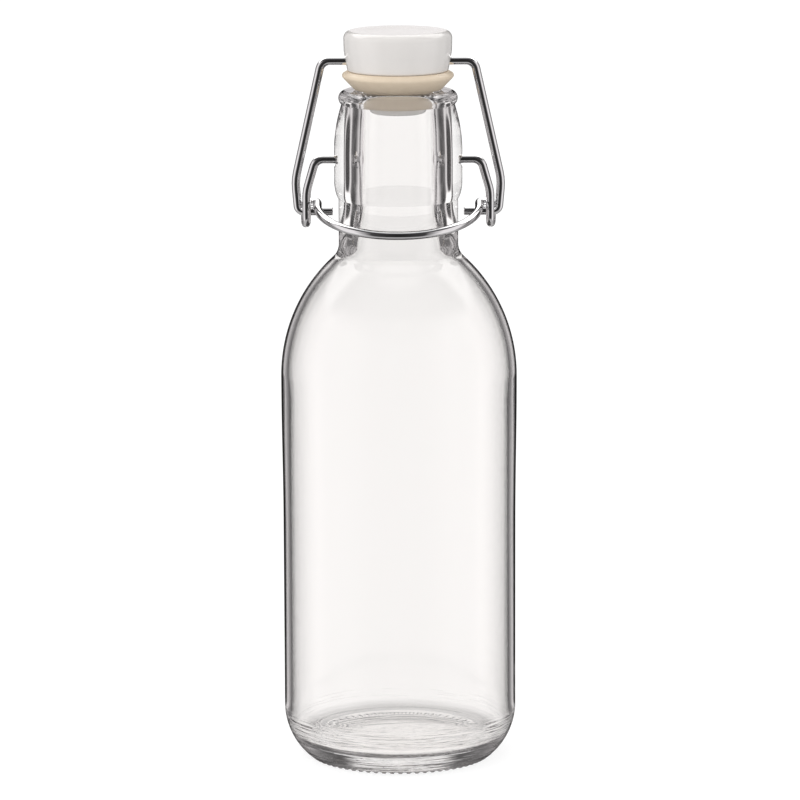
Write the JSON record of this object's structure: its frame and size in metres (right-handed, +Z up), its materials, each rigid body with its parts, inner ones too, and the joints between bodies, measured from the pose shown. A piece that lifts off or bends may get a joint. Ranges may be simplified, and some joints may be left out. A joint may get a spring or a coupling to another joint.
{
  "type": "swing top bottle",
  "caption": "Clear glass bottle with a round shoulder and a thick neck collar, closed by a white stopper and rubber gasket that a wire bail and thumb lever hold down.",
  "frame": {"origin": "on the bottle's axis, in the plane of the ring that the base stands on", "axes": "+Z up the bottle's axis; -Y towards the front, where the lever's thumb loop is when closed; +X to the right, along the wires' hinge lines"},
  "size_m": [0.0756, 0.0756, 0.2356],
  "materials": {
    "glass": "clear, fire polished, smooth",
    "stopper": "glossy moulded white",
    "gasket": "matt beige natural rubber",
    "wire": "bright drawn steel wire"
  },
  "bodies": {
    "bottle": {"glass_bottle": "glass"},
    "lever": {"lever": "wire"},
    "bail": {"bail": "wire"},
    "stopper": {"stopper": "stopper", "gasket": "gasket"}
  },
  "joints": [
    {"name": "lever_swing", "type": "hinge", "parent": "bottle", "child": "lever", "pos_m": [0, 0, 0.19441], "axis": [-1, 0, 0], "range_deg": [0, 180]},
    {"name": "bail_swing", "type": "hinge", "parent": "lever", "child": "bail", "pos_m": [0, 0.002, 0.17741], "axis": [-1, 0, 0], "range_deg": [-120, 0]},
    {"name": "stopper_tilt", "type": "hinge", "parent": "bail", "child": "stopper", "pos_m": [0, 0, 0.22591], "axis": [-1, 0, 0], "range_deg": [-60.5, 0]}
  ],
  "couplings": [
    {"joint": "bail_swing", "follows": "lever_swing", "ratio": -0.665},
    {"joint": "stopper_tilt", "follows": "lever_swing", "ratio": -0.335}
  ]
}
